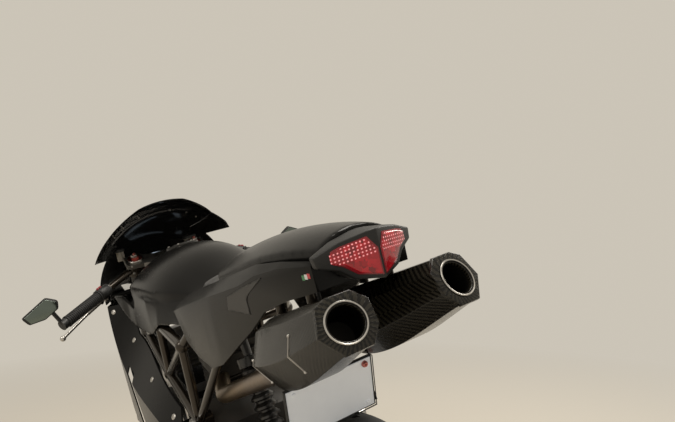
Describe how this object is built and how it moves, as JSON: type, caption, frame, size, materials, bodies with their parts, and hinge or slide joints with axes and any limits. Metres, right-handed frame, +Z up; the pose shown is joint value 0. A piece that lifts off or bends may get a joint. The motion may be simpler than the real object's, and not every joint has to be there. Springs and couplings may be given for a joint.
{
  "type": "sport bike",
  "caption": "Fully faired sport bike leaning on its side stand: trellis frame, clip-on bars, bar-end mirrors, pointed tail with silencers under it, steering and wheels that turn.",
  "frame": {"origin": "on the floor, below the middle of the bike's box", "axes": "+X forward, +Y to the rider's left, +Z up; the bike leans 14.8 degrees to the left on its side stand"},
  "size_m": [2.045, 0.9242, 1.0858],
  "materials": {
    "satin_black": "satin black paint",
    "smoked_screen": "dark smoked",
    "frame_bronze": "bronze, glossy",
    "cast_engine": "cast, dark grey",
    "machined_alloy": "machined",
    "fork_anodised": "anodised pinkish red",
    "fork_gold": "anodised",
    "bright_steel": "brushed",
    "caliper_alloy": "machined, anodised",
    "wheel_paint": "painted black",
    "tyre_rubber": "matte",
    "grip_rubber": "ribbed",
    "carbon_can": "carbon weave under lacquer",
    "exhaust_steel": "brushed",
    "black_plastic": "moulded",
    "lamp_red": "clear red lens",
    "lamp_clear": "clear",
    "reservoir_clear": "smoky translucent",
    "seat_cover": "grained black",
    "plate_white": "blank white",
    "shock_red": "coil spring",
    "stand_steel": "black"
  },
  "bodies": {
    "chassis": {"fuel_tank": "satin_black", "trellis_frame": "frame_bronze", "crankcase": "cast_engine", "engine_covers": "cast_engine", "rear_cylinder": "cast_engine", "front_cylinder": "cast_engine", "swingarm": "machined_alloy", "shock_absorber": "shock_red", "drive_chain": "bright_steel", "front_sprocket": "machined_alloy", "tail_cowl": "satin_black", "pillion_seat": "satin_black", "rider_seat": "seat_cover", "side_fairing_left": "satin_black", "side_fairing_right": "satin_black", "belly_pan": "satin_black", "upper_cowl": "satin_black", "headlamps": "lamp_clear", "windscreen": "smoked_screen", "silencer_left": "carbon_can", "silencer_right": "carbon_can", "exhaust_pipes": "exhaust_steel", "plate_frame": "black_plastic", "number_plate": "plate_white", "plate_hanger": "black_plastic", "stand_bracket": "stand_steel", "rear_subframe": "frame_bronze", "cowl_stay": "black_plastic", "instrument_panel": "black_plastic", "radiator": "machined_alloy", "oil_cooler": "machined_alloy", "cooler_lugs": "black_plastic", "panel_lugs": "black_plastic", "tail_lamp_housing": "black_plastic", "tail_lamp_lenses": "lamp_red", "rearsets": "machined_alloy", "rear_hugger": "satin_black", "rear_caliper": "caliper_alloy"},
    "steering": {"top_yoke": "machined_alloy", "bottom_yoke": "machined_alloy", "steering_stem": "bright_steel", "fork_legs": "fork_gold", "fork_caps": "fork_anodised", "clip_ons": "machined_alloy", "grips": "grip_rubber", "levers": "bright_steel", "fluid_reservoirs": "reservoir_clear", "bar_end_mirrors": "black_plastic", "front_mudguard": "satin_black", "front_calipers": "caliper_alloy", "front_axle": "bright_steel"},
    "front_wheel": {"front_rim": "wheel_paint", "front_tyre": "tyre_rubber", "front_discs": "bright_steel"},
    "rear_wheel": {"rear_rim": "wheel_paint", "rear_tyre": "tyre_rubber", "rear_axle": "bright_steel", "rear_disc": "bright_steel", "rear_sprocket": "bright_steel"},
    "side_stand": {"side_stand": "stand_steel"}
  },
  "joints": [
    {"name": "steer", "type": "hinge", "parent": "chassis", "child": "steering", "pos_m": [0.49226, -0.03983, 0.6974], "axis": [-0.4147, 0.2324, 0.8798], "range_deg": [-26, 26]},
    {"name": "front_wheel_spin", "type": "hinge", "parent": "steering", "child": "front_wheel", "pos_m": [0.7225, -0.14693, 0.29204], "axis": [0, 0.9668, -0.2554], "continuous": true},
    {"name": "rear_wheel_spin", "type": "hinge", "parent": "chassis", "child": "rear_wheel", "pos_m": [-0.7075, -0.14279, 0.3077], "axis": [0, 0.9668, -0.2554], "continuous": true},
    {"name": "side_stand_fold", "type": "hinge", "parent": "chassis", "child": "side_stand", "pos_m": [-0.1785, -0.03565, 0.21216], "axis": [0.0587, 0.8907, 0.4508], "range_deg": [0, 94]}
  ]
}
